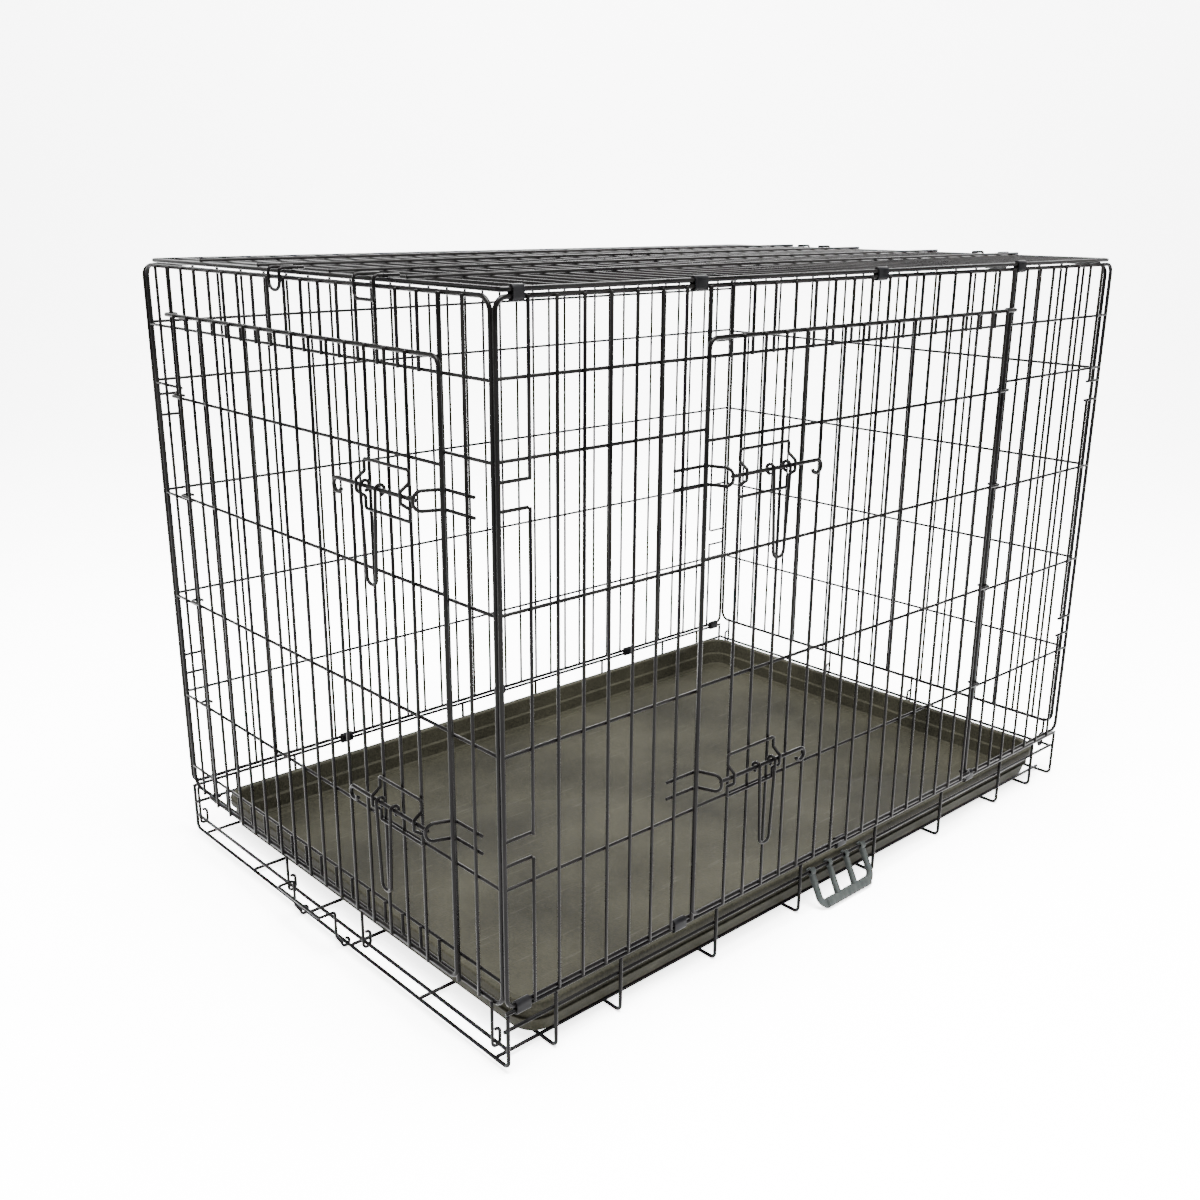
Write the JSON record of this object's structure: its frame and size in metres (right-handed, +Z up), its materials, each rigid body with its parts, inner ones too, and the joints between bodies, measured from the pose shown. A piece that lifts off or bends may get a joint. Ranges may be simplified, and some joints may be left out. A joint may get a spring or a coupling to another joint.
{
  "type": "folding wire pet crate",
  "caption": "Folding wire dog crate with long-side and front doors on curled hinges, slide bolts, a top lid, a slide-in tray and a carry handle.",
  "frame": {"origin": "middle of the crate's footprint, on the floor it stands on", "axes": "+X to the side with the long door, +Y to the rear end, +Z up"},
  "size_m": [0.7277, 1.1057, 0.7734],
  "materials": {
    "black_coated_wire": "satin black coat on steel wire",
    "moulded_tray": "moulded dark green-grey plastic",
    "black_sleeve": "black plastic sleeve",
    "grey_handle_plastic": "moulded dark grey plastic"
  },
  "bodies": {
    "base": {"base_bow_1": "black_coated_wire", "base_bow_2": "black_coated_wire", "base_bow_3": "black_coated_wire", "base_bow_4": "black_coated_wire", "base_bow_5": "black_coated_wire", "base_bow_6": "black_coated_wire", "base_bow_7": "black_coated_wire", "base_bow_8": "black_coated_wire", "base_bow_9": "black_coated_wire", "base_bow_10": "black_coated_wire", "base_near_rail": "black_coated_wire", "base_far_rail": "black_coated_wire", "base_near_mid_wire": "black_coated_wire", "base_far_mid_wire": "black_coated_wire", "base_near_runner_1": "black_coated_wire", "base_near_runner_2": "black_coated_wire", "base_near_runner_3": "black_coated_wire", "base_far_runner_1": "black_coated_wire", "base_far_runner_2": "black_coated_wire", "base_far_runner_3": "black_coated_wire", "base_front_pivot_wire": "black_coated_wire", "base_rear_pivot_wire": "black_coated_wire"},
    "near_side": {"near_side_panel": "black_coated_wire", "near_base_clip_1": "black_sleeve", "near_base_clip_2": "black_sleeve", "near_base_clip_3": "black_sleeve", "near_base_clip_4": "black_sleeve", "lid_clip_1": "black_sleeve", "lid_clip_2": "black_sleeve", "lid_clip_3": "black_sleeve", "lid_clip_4": "black_sleeve", "side_lower_keeper": "black_coated_wire", "side_upper_keeper": "black_coated_wire"},
    "far_side": {"far_side_panel": "black_coated_wire", "far_base_clip_1": "black_sleeve", "far_base_clip_2": "black_sleeve", "far_base_clip_3": "black_sleeve", "far_base_clip_4": "black_sleeve"},
    "front_end": {"front_end_panel": "black_coated_wire", "front_lower_keeper": "black_coated_wire", "front_upper_keeper": "black_coated_wire"},
    "rear_end": {"rear_end_panel": "black_coated_wire"},
    "lid": {"top_panel": "black_coated_wire", "lid_front_loop_1": "black_coated_wire", "lid_front_loop_2": "black_coated_wire", "lid_rear_loop_1": "black_coated_wire", "lid_rear_loop_2": "black_coated_wire"},
    "side_door": {"side_door": "black_coated_wire"},
    "front_door": {"front_door": "black_coated_wire"},
    "side_lower_bolt": {"side_lower_bolt": "black_coated_wire"},
    "side_lower_bolt_handle": {"side_lower_bolt_handle": "black_coated_wire"},
    "side_upper_bolt": {"side_upper_bolt": "black_coated_wire"},
    "side_upper_bolt_handle": {"side_upper_bolt_handle": "black_coated_wire"},
    "front_lower_bolt": {"front_lower_bolt": "black_coated_wire"},
    "front_lower_bolt_handle": {"front_lower_bolt_handle": "black_coated_wire"},
    "front_upper_bolt": {"front_upper_bolt": "black_coated_wire"},
    "front_upper_bolt_handle": {"front_upper_bolt_handle": "black_coated_wire"},
    "tray": {"slide_in_tray": "moulded_tray"},
    "tray_stop": {"tray_stop": "black_coated_wire"},
    "carry_handle": {"carry_handle": "grey_handle_plastic"}
  },
  "joints": [
    {"name": "near_side_fold", "type": "hinge", "parent": "base", "child": "near_side", "pos_m": [0.3456, 0, 0.07], "axis": [0, -1, 0], "range_deg": [-90, 0]},
    {"name": "far_side_fold", "type": "hinge", "parent": "base", "child": "far_side", "pos_m": [-0.3456, 0, 0.07], "axis": [0, 1, 0], "range_deg": [-90, 0]},
    {"name": "front_end_fold", "type": "hinge", "parent": "base", "child": "front_end", "pos_m": [0, -0.53, 0.027], "axis": [1, 0, 0], "range_deg": [-47, 0]},
    {"name": "rear_end_fold", "type": "hinge", "parent": "base", "child": "rear_end", "pos_m": [0, 0.53, 0.047], "axis": [-1, 0, 0], "range_deg": [-66, 0]},
    {"name": "lid_open", "type": "hinge", "parent": "near_side", "child": "lid", "pos_m": [0.3456, 0, 0.7674], "axis": [0, 1, 0], "range_deg": [0, 115]},
    {"name": "side_door_open", "type": "hinge", "parent": "near_side", "child": "side_door", "pos_m": [0.3504, 0.27354, 0.4], "axis": [0, 0, 1], "range_deg": [0, 145]},
    {"name": "front_door_open", "type": "hinge", "parent": "front_end", "child": "front_door", "pos_m": [-0.2708, -0.5353, 0.4], "axis": [0, 0, -1], "range_deg": [0, 145]},
    {"name": "side_lower_bolt_slide", "type": "slide", "parent": "side_door", "child": "side_lower_bolt", "axis": [0, -1, 0], "range_m": [0, 0.03]},
    {"name": "side_lower_handle_lift", "type": "hinge", "parent": "side_lower_bolt", "child": "side_lower_bolt_handle", "pos_m": [0.3691, -0.18335, 0.243], "axis": [0, -1, 0], "range_deg": [0, 100]},
    {"name": "front_lower_bolt_slide", "type": "slide", "parent": "front_door", "child": "front_lower_bolt", "axis": [1, 0, 0], "range_m": [0, 0.03]},
    {"name": "front_lower_handle_lift", "type": "hinge", "parent": "front_lower_bolt", "child": "front_lower_bolt_handle", "pos_m": [0.1806, -0.554, 0.243], "axis": [-1, 0, 0], "range_deg": [0, 100]},
    {"name": "side_upper_bolt_slide", "type": "slide", "parent": "side_door", "child": "side_upper_bolt", "axis": [0, -1, 0], "range_m": [0, 0.03]},
    {"name": "side_upper_handle_lift", "type": "hinge", "parent": "side_upper_bolt", "child": "side_upper_bolt_handle", "pos_m": [0.3691, -0.18335, 0.577], "axis": [0, -1, 0], "range_deg": [0, 100]},
    {"name": "front_upper_bolt_slide", "type": "slide", "parent": "front_door", "child": "front_upper_bolt", "axis": [1, 0, 0], "range_m": [0, 0.03]},
    {"name": "front_upper_handle_lift", "type": "hinge", "parent": "front_upper_bolt", "child": "front_upper_bolt_handle", "pos_m": [0.1806, -0.554, 0.577], "axis": [-1, 0, 0], "range_deg": [0, 100]},
    {"name": "tray_slide", "type": "slide", "parent": "base", "child": "tray", "axis": [0, -1, 0], "range_m": [0, 0.025]},
    {"name": "tray_stop_fold", "type": "hinge", "parent": "base", "child": "tray_stop", "pos_m": [0, -0.5305, 0.0068], "axis": [1, 0, 0], "range_deg": [0, 55]},
    {"name": "carry_handle_lift", "type": "hinge", "parent": "base", "child": "carry_handle", "pos_m": [0.3414, 0.002, 0.047], "axis": [0, -1, 0], "range_deg": [0, 110]}
  ]
}
